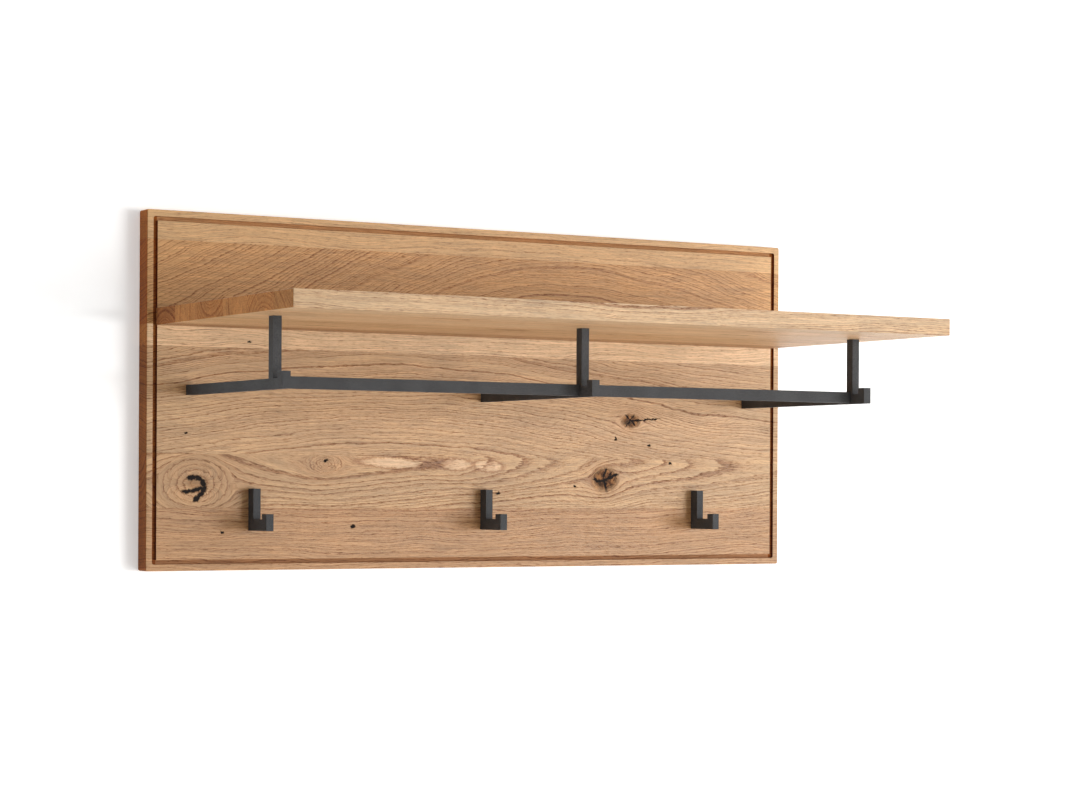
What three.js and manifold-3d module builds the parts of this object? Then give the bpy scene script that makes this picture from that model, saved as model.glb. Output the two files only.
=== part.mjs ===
// Wall hook rack: an oak back panel with a shelf, a clothes rail on three steel brackets, and three coat hooks.
// Millimetres, +X to the right along the wall, -Y out of the wall, +Z up.
// The origin is on the panel's back, midway between the two hanging points.
import * as THREE from 'three';
import * as BufferGeometryUtils from 'three/addons/utils/BufferGeometryUtils.js';
import Module from 'manifold-3d';

// Back panel
const PANEL_WIDTH = 1070;
const PANEL_HEIGHT = 500;
const PANEL_THICK = 28;
const PANEL_CORNER = 3;
const PANEL_EDGE = 1.5;
const PANEL_TOP = 60;
const PANEL_BOTTOM = PANEL_TOP - PANEL_HEIGHT;
const PANEL_FACE = -PANEL_THICK;

// Groove routed round the panel's face
const GROOVE_INSET = 9.5;
const GROOVE_WIDTH = 6;
const GROOVE_DEPTH = 4;

// Shelf
const SHELF_INSET = 13.5;
const SHELF_LENGTH = PANEL_WIDTH - 2 * SHELF_INSET;
const SHELF_THICK = 24;
const SHELF_REACH = 438;
const SHELF_EDGE = 4;
const SHELF_END_EDGE = 2;
const SHELF_BOTTOM = -100;
const SHELF_MIDDLE = SHELF_BOTTOM + SHELF_THICK / 2;

// Flat bar that the brackets are made of
const BAR_WIDTH = 12;
const BAR_DEPTH = 14;
const BAR_EDGE = 0.6;

// Brackets, at x = -BRACKET_PITCH, 0 and BRACKET_PITCH; reaches are from the panel's face
const BRACKET_PITCH = 470;
const ARM_BOTTOM = -195.5;
const ARM_TOP = ARM_BOTTOM + BAR_DEPTH;
const ARM_MIDDLE = ARM_BOTTOM + BAR_DEPTH / 2;
const BRACKET_REACH = 312;
const POST_REACH = 284;
const LIP_RISE = 9;

// Clothes rail
const RAIL_HEIGHT = 16;
const RAIL_DEPTH = 12;
const RAIL_BOTTOM = -194;
const RAIL_REACH = 279;
const RAIL_CENTRE = PANEL_FACE - RAIL_REACH + RAIL_DEPTH / 2;

// Coat hooks
const HOOK_PITCH = 375;
const HOOK_WIDTH = 11;
const HOOK_BOTTOM = -384;
const HOOK_HEIGHT = 59;
const HOOK_REACH = 60;
const HOOK_BACK = 17;
const HOOK_FOOT = 16;
const HOOK_LIP = 15;
const HOOK_LIP_RISE = 7.5;
const HOOK_EDGE = 0.6;

// Keyhole hanging plates, with the slot's end at z = 0
const HANGER_PITCH = 420;
const PLATE_WIDTH = 70;
const PLATE_HEIGHT = 26;
const PLATE_THICK = 2;
const PLATE_CENTRE = -4;
const KEYHOLE_RADIUS = 5;
const KEYHOLE_DROP = 10;
const SLOT_RADIUS = 2.75;
const HEAD_ROOM = 12;
const HEAD_POCKET_WIDTH = 15;
const HEAD_POCKET_HEIGHT = 24;

// Fasteners: shank and head radius, with the clearance that their holes keep
const CLEARANCE = 0.3;
const ARM_SCREW = { shank: 3, head: 5.6, length: 46 };
const HOOK_SCREW = { shank: 2, head: 3.9, length: 38 };
const SHELF_SCREW = { shank: 2.5, head: 4.8, length: 70 };
const PLATE_SCREW = { shank: 1.6, head: 3.2, length: 16 };
const HOOK_SCREW_HEIGHTS = [15, 44];
const PLATE_SCREW_OFFSET = 27;
const SHELF_SCREW_PLACES = [-400, -150, 150, 400];
const DOWEL_PLACES = [-490, -275, 275, 490];
const DOWEL_RADIUS = 4;
const DOWEL_LENGTH = 40;
const DOWEL_IN_PANEL = 15;
const STUD_RADIUS = 2.5;
const STUD_LENGTH = 30;
const PIN_RADIUS = 2.5;
const PIN_IN_RAIL = 14;
const PIN_IN_ARM = 8;

const ROUND_SIDES = 16;

const oak = new THREE.MeshStandardMaterial({ color: '#c0915f', roughness: 0.6, metalness: 0 });
const beech = new THREE.MeshStandardMaterial({ color: '#d9b98c', roughness: 0.7, metalness: 0 });
const blackCoat = new THREE.MeshStandardMaterial({ color: '#232528', roughness: 0.55, metalness: 0.3 });
const zincSteel = new THREE.MeshStandardMaterial({ color: '#a9adb0', roughness: 0.4, metalness: 1 });

const wasm = await Module();
wasm.setup();

function solidOf(geometry) {
  const bare = geometry.clone();
  bare.deleteAttribute('normal');
  bare.deleteAttribute('uv');
  const merged = BufferGeometryUtils.mergeVertices(bare, 1e-4);
  const mesh = new wasm.Mesh({
    numProp: 3,
    vertProperties: new Float32Array(merged.attributes.position.array),
    triVerts: new Uint32Array(merged.index.array),
  });
  return new wasm.Manifold(mesh);
}

function geometryOf(solid) {
  const mesh = solid.getMesh();
  const geometry = new THREE.BufferGeometry();
  geometry.setAttribute('position', new THREE.BufferAttribute(new Float32Array(mesh.vertProperties), 3));
  geometry.setIndex(new THREE.BufferAttribute(new Uint32Array(mesh.triVerts), 1));
  geometry.computeVertexNormals();
  return geometry;
}

function cutAway(geometry, tools) {
  let solid = solidOf(geometry);
  for (const tool of tools) {
    solid = solid.subtract(solidOf(tool));
  }
  return geometryOf(solid);
}

function joined(geometries) {
  const solids = geometries.map(solidOf);
  return geometryOf(solids.reduce((whole, next) => whole.add(next)));
}

// A box from its lowest to its highest corner.
function block(low, high) {
  const size = high.map((value, i) => value - low[i]);
  const geometry = new THREE.BoxGeometry(...size);
  geometry.translate(...low.map((value, i) => value + size[i] / 2));
  return geometry;
}

// A shape in the XZ plane, extruded from y = front back towards the wall.
function sheetFacingOut(shape, front, thick, options = {}) {
  const settings = { depth: thick, bevelEnabled: false, curveSegments: 4, ...options };
  const geometry = new THREE.ExtrudeGeometry(shape, settings);
  geometry.rotateX(Math.PI / 2);
  geometry.translate(0, front + thick, 0);
  return geometry;
}

function roundedRectangle(left, right, bottom, top, radius) {
  const shape = new THREE.Shape();
  const quarter = Math.PI / 2;
  shape.absarc(right - radius, top - radius, radius, 0, quarter);
  shape.absarc(left + radius, top - radius, radius, quarter, 2 * quarter);
  shape.absarc(left + radius, bottom + radius, radius, 2 * quarter, 3 * quarter);
  shape.absarc(right - radius, bottom + radius, radius, 3 * quarter, 4 * quarter);
  shape.closePath();
  return shape;
}

// A bar with its four long edges broken, centred on its axis; width and depth lie across its length.
function bar(width, depth, length, edge) {
  const halfWidth = width / 2;
  const halfDepth = depth / 2;
  const shape = new THREE.Shape([
    new THREE.Vector2(-halfWidth + edge, -halfDepth),
    new THREE.Vector2(halfWidth - edge, -halfDepth),
    new THREE.Vector2(halfWidth, -halfDepth + edge),
    new THREE.Vector2(halfWidth, halfDepth - edge),
    new THREE.Vector2(halfWidth - edge, halfDepth),
    new THREE.Vector2(-halfWidth + edge, halfDepth),
    new THREE.Vector2(-halfWidth, halfDepth - edge),
    new THREE.Vector2(-halfWidth, -halfDepth + edge),
  ]);
  const geometry = new THREE.ExtrudeGeometry(shape, { depth: length, bevelEnabled: false });
  geometry.translate(0, 0, -length / 2);
  return geometry;
}

// Round rod along Y (into the wall), Z or X, from its centre.
function rod(radius, length, centre, axis) {
  const geometry = new THREE.CylinderGeometry(radius, radius, length, ROUND_SIDES);
  if (axis === 'x') geometry.rotateZ(Math.PI / 2);
  if (axis === 'z') geometry.rotateX(Math.PI / 2);
  geometry.translate(...centre);
  return geometry;
}

// Countersunk screw driven from the wall side, with its head's face at y = 0 and its tip at y = -length.
function screwGeometry({ shank, head, length }) {
  const cone = head - shank;
  const socket = head * 0.45;
  const profile = [
    [0, -head * 0.5],
    [socket, -head * 0.4],
    [socket, 0],
    [head, 0],
    [shank, -cone],
    [shank, -length + 1.5 * shank],
    [0.4 * shank, -length],
    [0, -length],
  ];
  const points = profile.map(([x, y]) => new THREE.Vector2(x, y)).reverse();
  return geometryOf(solidOf(new THREE.LatheGeometry(points, ROUND_SIDES)));
}

// The hole that such a screw needs in the board under its head, open at both faces.
function screwHole({ shank, head }, thick) {
  const hole = shank + CLEARANCE;
  const mouth = head + CLEARANCE;
  const points = [
    [0, -thick - 1],
    [hole, -thick - 1],
    [hole, -(mouth - hole) - 0.5],
    [mouth, -0.5],
    [mouth, 1],
    [0, 1],
  ].map(([x, y]) => new THREE.Vector2(x, y));
  return geometryOf(solidOf(new THREE.LatheGeometry(points, ROUND_SIDES)));
}

function at(geometry, x, y, z) {
  geometry.translate(x, y, z);
  return geometry;
}

function part(name, geometry, material) {
  const mesh = new THREE.Mesh(geometry, material);
  mesh.name = name;
  return mesh;
}

const SIDES = [
  { name: 'left', sign: -1 },
  { name: 'middle', sign: 0 },
  { name: 'right', sign: 1 },
];
const HANGER_SIDES = SIDES.filter((side) => side.sign !== 0);
const SCREW_SEAT = -0.5;

function backPanel() {
  const outline = roundedRectangle(
    -PANEL_WIDTH / 2, PANEL_WIDTH / 2, PANEL_BOTTOM, PANEL_TOP, PANEL_CORNER,
  );
  const board = sheetFacingOut(outline, PANEL_FACE + PANEL_EDGE, PANEL_THICK - 2 * PANEL_EDGE, {
    bevelEnabled: true,
    bevelThickness: PANEL_EDGE,
    bevelSize: PANEL_EDGE,
    bevelOffset: -PANEL_EDGE,
    bevelSegments: 2,
  });

  const outer = GROOVE_INSET;
  const inner = GROOVE_INSET + GROOVE_WIDTH;
  const grooveShape = roundedRectangle(
    -PANEL_WIDTH / 2 + outer, PANEL_WIDTH / 2 - outer, PANEL_BOTTOM + outer, PANEL_TOP - outer,
    GROOVE_WIDTH / 2,
  );
  const field = new THREE.Path([
    new THREE.Vector2(-PANEL_WIDTH / 2 + inner, PANEL_BOTTOM + inner),
    new THREE.Vector2(PANEL_WIDTH / 2 - inner, PANEL_BOTTOM + inner),
    new THREE.Vector2(PANEL_WIDTH / 2 - inner, PANEL_TOP - inner),
    new THREE.Vector2(-PANEL_WIDTH / 2 + inner, PANEL_TOP - inner),
  ]);
  grooveShape.holes.push(field);
  const cuts = [sheetFacingOut(grooveShape, PANEL_FACE - 1, GROOVE_DEPTH + 1)];

  for (const { sign } of SIDES) {
    cuts.push(at(screwHole(ARM_SCREW, PANEL_THICK), sign * BRACKET_PITCH, 0, ARM_MIDDLE));
    for (const height of HOOK_SCREW_HEIGHTS) {
      cuts.push(at(screwHole(HOOK_SCREW, PANEL_THICK), sign * HOOK_PITCH, 0, HOOK_BOTTOM + height));
    }
  }
  for (const x of SHELF_SCREW_PLACES) {
    cuts.push(at(screwHole(SHELF_SCREW, PANEL_THICK), x, 0, SHELF_MIDDLE));
  }
  for (const x of DOWEL_PLACES) {
    cuts.push(dowelHole(x));
  }
  for (const { sign } of HANGER_SIDES) {
    const x = sign * HANGER_PITCH;
    cuts.push(block(
      [x - PLATE_WIDTH / 2 - CLEARANCE, -PLATE_THICK, PLATE_CENTRE - PLATE_HEIGHT / 2 - CLEARANCE],
      [x + PLATE_WIDTH / 2 + CLEARANCE, 1, PLATE_CENTRE + PLATE_HEIGHT / 2 + CLEARANCE],
    ));
    cuts.push(block(
      [x - HEAD_POCKET_WIDTH / 2, -HEAD_ROOM, PLATE_CENTRE - HEAD_POCKET_HEIGHT / 2],
      [x + HEAD_POCKET_WIDTH / 2, 1, PLATE_CENTRE + HEAD_POCKET_HEIGHT / 2],
    ));
    for (const side of [-1, 1]) {
      const place = [x + side * PLATE_SCREW_OFFSET, -PLATE_SCREW.length / 2, PLATE_CENTRE];
      cuts.push(rod(PLATE_SCREW.shank + CLEARANCE, PLATE_SCREW.length + 2, place, 'y'));
    }
  }
  return part('back_panel', cutAway(board, cuts), oak);
}

// One hole that runs through the joint between the panel and the shelf, a little longer than its dowel.
function dowelHole(x) {
  const centre = PANEL_FACE + DOWEL_IN_PANEL - DOWEL_LENGTH / 2;
  return rod(DOWEL_RADIUS + CLEARANCE, DOWEL_LENGTH + 2, [x, centre, SHELF_MIDDLE], 'y');
}

function shelfBoard() {
  const front = PANEL_FACE - SHELF_REACH;
  const tail = 10;
  const quarter = Math.PI / 2;
  // Drawn across its length: u runs from the front edge to the back, v runs up.
  const section = new THREE.Shape();
  section.moveTo(SHELF_REACH + tail, 0);
  section.lineTo(SHELF_REACH + tail, SHELF_THICK);
  section.absarc(SHELF_EDGE, SHELF_THICK - SHELF_EDGE, SHELF_EDGE, quarter, 2 * quarter);
  section.absarc(SHELF_EDGE, SHELF_EDGE, SHELF_EDGE, 2 * quarter, 3 * quarter);
  section.closePath();
  const board = new THREE.ExtrudeGeometry(section, {
    depth: SHELF_LENGTH - 2 * SHELF_END_EDGE,
    curveSegments: 3,
    bevelEnabled: true,
    bevelThickness: SHELF_END_EDGE,
    bevelSize: SHELF_END_EDGE,
    bevelOffset: -SHELF_END_EDGE,
    bevelSegments: 2,
  });
  board.rotateX(quarter);
  board.rotateZ(quarter);
  board.translate(-SHELF_LENGTH / 2 + SHELF_END_EDGE, front, SHELF_BOTTOM);

  const behind = block(
    [-PANEL_WIDTH, PANEL_FACE, SHELF_BOTTOM - SHELF_THICK],
    [PANEL_WIDTH, PANEL_FACE + 2 * tail, SHELF_BOTTOM + 2 * SHELF_THICK],
  );
  const cuts = [behind];
  for (const x of DOWEL_PLACES) {
    cuts.push(dowelHole(x));
  }
  for (const x of SHELF_SCREW_PLACES) {
    const depth = SHELF_SCREW.length - PANEL_THICK + 2;
    const place = [x, PANEL_FACE - depth / 2 + 1, SHELF_MIDDLE];
    cuts.push(rod(SHELF_SCREW.shank + CLEARANCE, depth + 2, place, 'y'));
  }
  for (const { sign } of SIDES) {
    cuts.push(studHole(sign * BRACKET_PITCH));
  }
  return part('shelf_board', cutAway(board, cuts), oak);
}

const POST_CENTRE = PANEL_FACE - POST_REACH + BAR_DEPTH / 2;

// One hole that runs through the joint between a post and the shelf, a little longer than its stud.
function studHole(x) {
  return rod(STUD_RADIUS + CLEARANCE, STUD_LENGTH + 2, [x, POST_CENTRE, SHELF_BOTTOM], 'z');
}

// One hole along the rail's axis at an arm, for the pin that joins them.
function pinHole(x, length) {
  return rod(PIN_RADIUS + CLEARANCE, length, [x, RAIL_CENTRE, ARM_MIDDLE], 'x');
}

function pinSpan(sign) {
  const inRail = BAR_WIDTH / 2 + PIN_IN_RAIL;
  if (sign === 0) return { centre: 0, length: 2 * inRail };
  const inArm = BAR_WIDTH / 2 - PIN_IN_ARM;
  const far = BRACKET_PITCH - inRail;
  const near = BRACKET_PITCH - inArm;
  return { centre: sign * (far + near) / 2, length: near - far };
}

function bracket({ name, sign }) {
  const x = sign * BRACKET_PITCH;
  const armLength = BRACKET_REACH - BAR_DEPTH;
  const arm = bar(BAR_WIDTH, BAR_DEPTH, armLength, BAR_EDGE);
  arm.rotateX(Math.PI / 2);
  arm.translate(x, PANEL_FACE - armLength / 2, ARM_MIDDLE);
  const screwDepth = ARM_SCREW.length - PANEL_THICK + 2;
  const screwPlace = [x, PANEL_FACE - screwDepth / 2 + 1, ARM_MIDDLE];
  const pin = pinSpan(sign);
  const armWithHoles = cutAway(arm, [
    rod(ARM_SCREW.shank + CLEARANCE, screwDepth + 2, screwPlace, 'y'),
    pinHole(pin.centre, pin.length + 1),
  ]);

  const postLength = SHELF_BOTTOM - ARM_TOP;
  const post = bar(BAR_WIDTH, BAR_DEPTH, postLength, BAR_EDGE);
  post.translate(x, POST_CENTRE, ARM_TOP + postLength / 2);

  const lipLength = BAR_DEPTH + LIP_RISE;
  const lip = bar(BAR_WIDTH, BAR_DEPTH, lipLength, BAR_EDGE);
  lip.translate(x, PANEL_FACE - BRACKET_REACH + BAR_DEPTH / 2, ARM_BOTTOM + lipLength / 2);

  return [
    part(`${name}_arm`, armWithHoles, blackCoat),
    part(`${name}_post`, cutAway(post, [studHole(x)]), blackCoat),
    part(`${name}_arm_lip`, lip, blackCoat),
  ];
}

function rail({ name, sign }) {
  const length = BRACKET_PITCH - BAR_WIDTH;
  const stretch = bar(RAIL_HEIGHT, RAIL_DEPTH, length, BAR_EDGE);
  stretch.rotateY(Math.PI / 2);
  stretch.translate(sign * BRACKET_PITCH / 2, RAIL_CENTRE, RAIL_BOTTOM + RAIL_HEIGHT / 2);
  const holes = [0, sign].map((end) => {
    const pin = pinSpan(end);
    return pinHole(pin.centre, pin.length + 1);
  });
  return part(`rail_${name}`, cutAway(stretch, holes), blackCoat);
}

function hook({ name, sign }) {
  const x = sign * HOOK_PITCH;
  const back = bar(HOOK_WIDTH, HOOK_BACK, HOOK_HEIGHT, HOOK_EDGE);
  back.translate(0, -HOOK_BACK / 2, HOOK_HEIGHT / 2);
  const foot = bar(HOOK_WIDTH, HOOK_FOOT, HOOK_REACH, HOOK_EDGE);
  foot.rotateX(Math.PI / 2);
  foot.translate(0, -HOOK_REACH / 2, HOOK_FOOT / 2);
  const lipHeight = HOOK_FOOT + HOOK_LIP_RISE;
  const lip = bar(HOOK_WIDTH, HOOK_LIP, lipHeight, HOOK_EDGE);
  lip.translate(0, -HOOK_REACH + HOOK_LIP / 2, lipHeight / 2);
  const body = joined([back, foot, lip]);
  body.translate(x, PANEL_FACE, HOOK_BOTTOM);
  const depth = HOOK_SCREW.length - PANEL_THICK + 2;
  const holes = HOOK_SCREW_HEIGHTS.map((height) => {
    const place = [x, PANEL_FACE - depth / 2 + 1, HOOK_BOTTOM + height];
    return rod(HOOK_SCREW.shank + CLEARANCE, depth + 2, place, 'y');
  });
  return part(`hook_${name}`, cutAway(body, holes), blackCoat);
}

function hangerPlate({ name, sign }) {
  const x = sign * HANGER_PITCH;
  const outline = roundedRectangle(
    -PLATE_WIDTH / 2, PLATE_WIDTH / 2,
    PLATE_CENTRE - PLATE_HEIGHT / 2, PLATE_CENTRE + PLATE_HEIGHT / 2, 3,
  );
  const plate = sheetFacingOut(outline, -PLATE_THICK, PLATE_THICK);
  const through = 3 * PLATE_THICK;
  const cuts = [
    rod(KEYHOLE_RADIUS, through, [0, -PLATE_THICK / 2, -KEYHOLE_DROP], 'y'),
    rod(SLOT_RADIUS, through, [0, -PLATE_THICK / 2, 0], 'y'),
    block([-SLOT_RADIUS, -through, -KEYHOLE_DROP], [SLOT_RADIUS, through, 0]),
  ];
  for (const side of [-1, 1]) {
    cuts.push(at(screwHole(PLATE_SCREW, PLATE_THICK), side * PLATE_SCREW_OFFSET, 0, PLATE_CENTRE));
  }
  const body = cutAway(plate, cuts);
  body.translate(x, 0, 0);
  return part(`hanger_plate_${name}`, body, zincSteel);
}

const group = new THREE.Group();
group.name = 'wall_hook_rack';

const boards = new THREE.Group();
boards.add(backPanel(), shelfBoard());
group.add(boards);

const metalwork = new THREE.Group();
for (const side of SIDES) {
  metalwork.add(...bracket(side), hook(side));
}
for (const side of HANGER_SIDES) {
  metalwork.add(rail(side), hangerPlate(side));
}
group.add(metalwork);

const fasteners = new THREE.Group();
for (const { name, sign } of SIDES) {
  const armScrew = part(`arm_screw_${name}`, screwGeometry(ARM_SCREW), zincSteel);
  armScrew.position.set(sign * BRACKET_PITCH, SCREW_SEAT, ARM_MIDDLE);
  const stud = part(`post_stud_${name}`, rod(STUD_RADIUS, STUD_LENGTH, [0, 0, 0], 'z'), zincSteel);
  stud.position.set(sign * BRACKET_PITCH, POST_CENTRE, SHELF_BOTTOM);
  const pin = pinSpan(sign);
  const railPin = part(`rail_pin_${name}`, rod(PIN_RADIUS, pin.length, [0, 0, 0], 'x'), zincSteel);
  railPin.position.set(pin.centre, RAIL_CENTRE, ARM_MIDDLE);
  fasteners.add(armScrew, stud, railPin);
  HOOK_SCREW_HEIGHTS.forEach((height, i) => {
    const place = i === 0 ? 'lower' : 'upper';
    const screw = part(`hook_screw_${name}_${place}`, screwGeometry(HOOK_SCREW), zincSteel);
    screw.position.set(sign * HOOK_PITCH, SCREW_SEAT, HOOK_BOTTOM + height);
    fasteners.add(screw);
  });
}
SHELF_SCREW_PLACES.forEach((x, i) => {
  const screw = part(`shelf_screw_${i + 1}`, screwGeometry(SHELF_SCREW), zincSteel);
  screw.position.set(x, SCREW_SEAT, SHELF_MIDDLE);
  fasteners.add(screw);
});
DOWEL_PLACES.forEach((x, i) => {
  const dowel = part(`shelf_dowel_${i + 1}`, rod(DOWEL_RADIUS, DOWEL_LENGTH, [0, 0, 0], 'y'), beech);
  dowel.position.set(x, PANEL_FACE + DOWEL_IN_PANEL - DOWEL_LENGTH / 2, SHELF_MIDDLE);
  fasteners.add(dowel);
});
for (const { name, sign } of HANGER_SIDES) {
  for (const side of [-1, 1]) {
    const place = side === sign ? 'outer' : 'inner';
    const screw = part(`plate_screw_${name}_${place}`, screwGeometry(PLATE_SCREW), zincSteel);
    screw.position.set(sign * HANGER_PITCH + side * PLATE_SCREW_OFFSET, 0, PLATE_CENTRE);
    fasteners.add(screw);
  }
}
group.add(fasteners);

export default group;
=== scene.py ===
"""Wall hook rack: a grooved wild-oak panel with a shelf, a clothes rail on brackets and three coat hooks."""

import math

import bmesh
import bpy
from mathutils import Matrix, Vector


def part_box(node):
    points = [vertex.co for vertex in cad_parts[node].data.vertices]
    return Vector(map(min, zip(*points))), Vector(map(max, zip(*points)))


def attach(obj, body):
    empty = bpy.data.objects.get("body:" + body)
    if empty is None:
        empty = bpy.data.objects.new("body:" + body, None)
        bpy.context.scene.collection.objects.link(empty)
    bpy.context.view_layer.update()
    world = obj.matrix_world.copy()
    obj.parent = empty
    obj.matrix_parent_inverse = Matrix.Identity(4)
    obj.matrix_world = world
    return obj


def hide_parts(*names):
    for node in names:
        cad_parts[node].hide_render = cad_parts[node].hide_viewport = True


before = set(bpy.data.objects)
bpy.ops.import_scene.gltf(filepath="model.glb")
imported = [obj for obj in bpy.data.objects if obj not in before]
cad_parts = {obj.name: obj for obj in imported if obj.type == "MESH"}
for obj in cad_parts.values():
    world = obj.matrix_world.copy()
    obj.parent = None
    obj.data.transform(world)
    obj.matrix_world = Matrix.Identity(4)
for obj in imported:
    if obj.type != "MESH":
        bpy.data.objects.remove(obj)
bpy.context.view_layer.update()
scene = bpy.context.scene

MM = 0.001

# driving sizes, in mm; the rest are taken from the frame
GROOVE_INSET = 9.5
GROOVE_WIDTH = 6.0
GROOVE_DEPTH = 4.0
GROOVE_LIP = 0.4
PANEL_EDGE = 1.5
PANEL_CORNER = 3.0
SHELF_FRONT_EDGE = 4.0
SHELF_END_EDGE = 1.6
BAR_EDGE = 0.7
HOOK_EDGE = 0.8
HOOK_BACK = 17.0
HOOK_FOOT = 16.0
HOOK_LIP = 15.0
HOOK_LIP_RISE = 7.5
PLATE_EDGE = 0.3
PLATE_CORNER = 3.0
KEYHOLE_HEAD = 5.0
KEYHOLE_SLOT = 2.75
KEYHOLE_DROP = 10.0
# room behind a keyhole for the head of the wall's screw: half its width and height, and its depth
POCKET_WIDTH = 7.5
POCKET_HEIGHT = 12.0
POCKET_DEPTH = 12.0
# radii of the holes for dowels, for studs, pins and shelf screws, and for the shanks of the others
DOWEL_HOLE = 4.3
PIN_HOLE = 2.8
CLEARANCE = 0.3
# a cut starts this far outside the piece, and a blind hole ends this far past what it holds
OUTSIDE = 5.0
DEEPER = 1.0
PIN_ROOM = 0.5
# screws: radius of the shank, radius of the head, length
SCREWS = {
    "arm_screw": (3.0, 5.6, 46.0),
    "hook_screw": (2.0, 3.9, 38.0),
    "shelf_screw": (2.5, 4.8, 70.0),
    "plate_screw": (1.6, 3.2, 16.0),
}

PLACES = ("left", "middle", "right")
ENDS = ("left", "right")
DOWELS = range(1, 5)


# ---------------------------------------------------------------- colour and nodes

def linear(hex_colour):
    """An sRGB hex colour as linear RGBA."""
    channels = [int(hex_colour[i:i + 2], 16) / 255 for i in (1, 3, 5)]
    return (*[c / 12.92 if c <= 0.04045 else ((c + 0.055) / 1.055) ** 2.4 for c in channels], 1.0)


def add(tree, kind, inputs=(), out=0, **settings):
    """Adds a node with its settings; inputs maps a socket to a value or to another node's output.

    Sockets go by number where a node has no plain names for them. Map Range: 0 the value, 1 and 2
    the range it comes from, 3 and 4 the range it is given. Mix: 0 the share, 2 and 3 two numbers or
    6 and 7 two colours, and output 2 is the mixed colour."""
    node = tree.nodes.new("ShaderNode" + kind)
    for name, value in settings.items():
        setattr(node, name, value)
    for key, value in dict(inputs).items():
        if isinstance(value, bpy.types.NodeSocket):
            tree.links.new(value, node.inputs[key])
        else:
            node.inputs[key].default_value = value
    return node.outputs[out] if node.outputs else None


def ramp(tree, factor, stops, interpolation="LINEAR"):
    """A colour ramp; stops are (place, linear colour)."""
    output = add(tree, "ValToRGB", {0: factor})
    colours = output.node.color_ramp
    colours.interpolation = interpolation
    while len(colours.elements) < len(stops):
        colours.elements.new(1.0)
    for element, (place, colour) in zip(colours.elements, stops):
        element.position = place
        element.color = colour
    return output


def new_material(name):
    """An empty material and its node tree."""
    material = bpy.data.materials.new(name)
    material.use_nodes = True
    material.node_tree.nodes.clear()
    return material, material.node_tree


def finish_material(tree, shader):
    """Ends a node tree with its shader."""
    add(tree, "OutputMaterial", {"Surface": shader})


# ---------------------------------------------------------------- oak

# the real pores are 0.3 mm wide; drawn wider so that they show
PORE_LENGTH = 11.0
PORE_WIDTH = 0.95
# slow waves in the fibres: their length and width, how unlike two staves are, and their height
WAVE_LENGTH = 170
WAVE_WIDTH = 60
WAVE_CHANGE = 0.37
WAVE_HEIGHT = 14.0
# the trunk swings to and fro once in this length of board
GRAIN_SWEEP = 1500.0
# how far the rim of a knot, mark or patch strays
RAGGED = 7.0
# fibres a millimetre or two wide, streaks a few mm wide and slow clouds: length, width, strength
TONES = ((45, 1.4, 0.26), (140, 6, 0.16), (190, 42, 0.13))
# how much of its red, green and blue the wood keeps where it is darker
RING_SHADE = (0.58, 0.43, 0.30)
PORE_SHADE = (0.46, 0.31, 0.20)
KNOT_SHADE = (0.78, 0.64, 0.50)
OUTLINE_SHADE = (0.66, 0.50, 0.36)
# the routed groove: darker cut grain plus painted shade in the recess
GROOVE_CUT_AND_PAINTED_SHADE = (0.50, 0.24, 0.07)
SHELF_END_SHADE = (0.77, 0.53, 0.31)
PANEL_END_SHADE = (0.54, 0.28, 0.10)
# added to values that may be under 0 while they pass through a ramp, and taken off again
SHIFT = 3000.0


class Stave:
    """One glued board of a panel, in mm along, across and into the board.

    start: where it begins, across. pith, pith_depth: where the middle of its tree lay.
    sweep, crest: how high its grain arches, and where along it is highest. slope: grain run-out.
    spacing: ring width. tint: its own tone. contrast: how dark its rings are."""

    def __init__(self, start, pith, pith_depth, slope, sweep, crest, spacing, tint, contrast):
        self.start = start
        self.pith = pith
        self.pith_depth = pith_depth
        self.slope = slope
        self.sweep = sweep
        self.crest = crest
        self.spacing = spacing
        self.tint = tint
        self.contrast = contrast


class Knot:
    """A knot at x along and y across the board, in the stave between low and high.

    swirl: how far it bends the grain. stretch: how much longer than wide it is.
    core, dark: half the width of its brown middle, and how strong the brown is."""

    def __init__(self, x, y, swirl, stretch, core, dark, low, high):
        self.x = x
        self.y = y
        self.swirl = swirl
        self.stretch = stretch
        self.core = core
        self.dark = dark
        self.low = low
        self.high = high


def per_stave(tree, share, staves, end, values):
    """Three values that change from stave to stave; the ramp that holds them can't go under 0."""
    low = staves[0].start
    stops = [((s.start - low) / (end - low), (*values(s), 1)) for s in staves]
    output = ramp(tree, share, stops, "CONSTANT")
    return add(tree, "SeparateColor", {0: output}).node.outputs


def nearest_of(tree, point, ellipses):
    """Distance to the nearest of some ellipses (x, y, half length, half width, turn), 1 at its rim."""
    nearest = None
    for x, y, half_length, half_width, turn in ellipses:
        cosine = math.cos(math.radians(turn))
        sine = math.sin(math.radians(turn))
        offset = add(tree, "VectorMath", {0: point, 1: (x, y, 0)}, operation="SUBTRACT")
        lengthwise = add(tree, "VectorMath", {0: offset, 1: (cosine / half_length, sine / half_length, 0)},
                         out="Value", operation="DOT_PRODUCT")
        crosswise = add(tree, "VectorMath", {0: offset, 1: (-sine / half_width, cosine / half_width, 0)},
                        out="Value", operation="DOT_PRODUCT")
        square = add(tree, "Math", {0: lengthwise, 1: lengthwise}, operation="MULTIPLY")
        square = add(tree, "Math", {0: crosswise, 1: crosswise, 2: square}, operation="MULTIPLY_ADD")
        if nearest is None:
            nearest = square
        else:
            nearest = add(tree, "Math", {0: nearest, 1: square}, operation="MINIMUM")
    return add(tree, "Math", {0: nearest}, operation="SQRT")


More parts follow.
